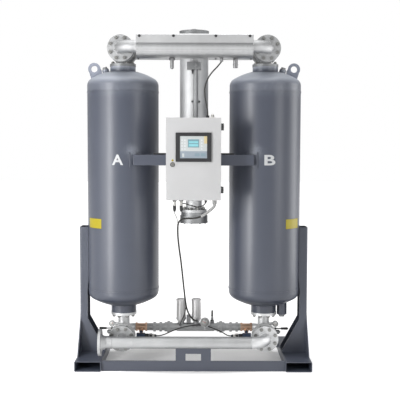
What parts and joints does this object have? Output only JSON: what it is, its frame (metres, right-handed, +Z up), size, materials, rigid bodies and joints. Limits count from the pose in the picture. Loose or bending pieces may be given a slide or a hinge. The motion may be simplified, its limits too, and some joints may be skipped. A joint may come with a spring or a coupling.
{
  "type": "desiccant air dryer",
  "caption": "Twin-tower desiccant air dryer with heated purge column, flanged pipework, control cabinet with display and a fork-pocket base.",
  "frame": {"origin": "on the floor, midway between the two tower axes, at the centre of the bounding box's bottom", "axes": "+X to the right along the front from tower A to tower B, +Y to the back, +Z up"},
  "size_m": [1.78, 0.91, 2.5843],
  "materials": {
    "vessel_paint": "satin blue-grey industrial paint",
    "stainless": "pickled stainless pipe, softly brushed",
    "guard_sheet": "bright stainless sheet",
    "heater_cladding": "polished stainless cladding",
    "valve_steel": "cast stainless wafer bodies",
    "fastener_steel": "zinc-plated studs, nuts and plugs",
    "dark_fasteners": "blackened screws",
    "heating_rods": "heat-tinted sheathed rods",
    "bronze": "dull bronze casting",
    "solenoid_plastic": "blue-black moulded plastic",
    "fitting_grey": "grey painted small fittings",
    "silencer_metal": "plain aluminium drums",
    "gauge_case": "stainless gauge cases",
    "lever_black": "coated lever handles",
    "cabinet_paint": "light grey powder coat, fine orange peel",
    "hinge_black": "black cast hinges",
    "plate_zinc": "galvanised back plate with grey modules",
    "gland_black": "black moulded glands and plugs",
    "bezel_black": "black moulded bezel",
    "lock_metal": "nickel-plated lock",
    "cable_black": "matt black cable sheath",
    "conduit_grey": "grey cable sheath",
    "desiccant": "white desiccant beads"
  },
  "bodies": {
    "dryer": {"fork_tube_left": "vessel_paint", "fork_tube_right": "vessel_paint", "cross_beams": "vessel_paint", "pipe_support": "vessel_paint", "leg_left": "vessel_paint", "leg_right": "vessel_paint", "vessel_a": "vessel_paint", "vessel_b": "vessel_paint", "lifting_eye_a": "vessel_paint", "lifting_eye_b": "vessel_paint", "port_plugs": "fastener_steel", "desiccant_beds": "desiccant", "bed_screens": "stainless", "top_tee_a": "stainless", "top_tee_b": "stainless", "check_valves": "valve_steel", "purge_elbows": "stainless", "purge_header": "stainless", "guard_trough": "guard_sheet", "guard_cover": "guard_sheet", "guard_screws": "dark_fasteners", "header_probes": "stainless", "outlet_elbows": "stainless", "outlet_header": "stainless", "heater_column": "heater_cladding", "heater_lid": "heater_cladding", "heater_elements": "heating_rods", "heater_head": "heater_cladding", "purge_tube": "stainless", "bottom_tee_a": "stainless", "bottom_tee_b": "stainless", "inlet_valves": "valve_steel", "inlet_flange": "stainless", "inlet_header": "stainless", "inlet_elbow": "stainless", "exhaust_valves": "bronze", "exhaust_solenoids": "solenoid_plastic", "exhaust_manifold": "stainless", "manifold_fittings": "fitting_grey", "silencers": "silencer_metal", "pressure_gauges": "gauge_case", "drain_valves": "stainless", "flange_studs": "fastener_steel", "cabinet_bar": "vessel_paint", "cabinet_box": "cabinet_paint", "cabinet_frame": "cabinet_paint", "door_hinges": "hinge_black", "control_plate": "plate_zinc", "cable_glands": "gland_black", "trunk_cable": "cable_black", "branch_cable": "cable_black", "arch_cable": "cable_black", "header_cable": "cable_black", "plug_lead": "conduit_grey", "sensor_lead": "cable_black"},
    "cabinet_door": {"cabinet_door": "cabinet_paint", "display": "bezel_black"},
    "door_lock": {"door_lock": "lock_metal"},
    "lever_a": {"lever_a": "lever_black"},
    "lever_b": {"lever_b": "lever_black"}
  },
  "joints": [
    {"name": "door_hinge", "type": "hinge", "parent": "dryer", "child": "cabinet_door", "pos_m": [0.211, -0.437, 1.592], "axis": [0, 0, 1], "range_deg": [0, 120]},
    {"name": "door_lock_turn", "type": "hinge", "parent": "cabinet_door", "child": "door_lock", "pos_m": [-0.152, -0.447, 1.553], "axis": [0, 1, 0], "range_deg": [0, 90]},
    {"name": "drain_lever_a", "type": "hinge", "parent": "dryer", "child": "lever_a", "pos_m": [-0.644, 0, 0.25], "axis": [0, 0, 1], "range_deg": [-90, 0]},
    {"name": "drain_lever_b", "type": "hinge", "parent": "dryer", "child": "lever_b", "pos_m": [0.644, 0, 0.25], "axis": [0, 0, 1], "range_deg": [0, 90]}
  ]
}
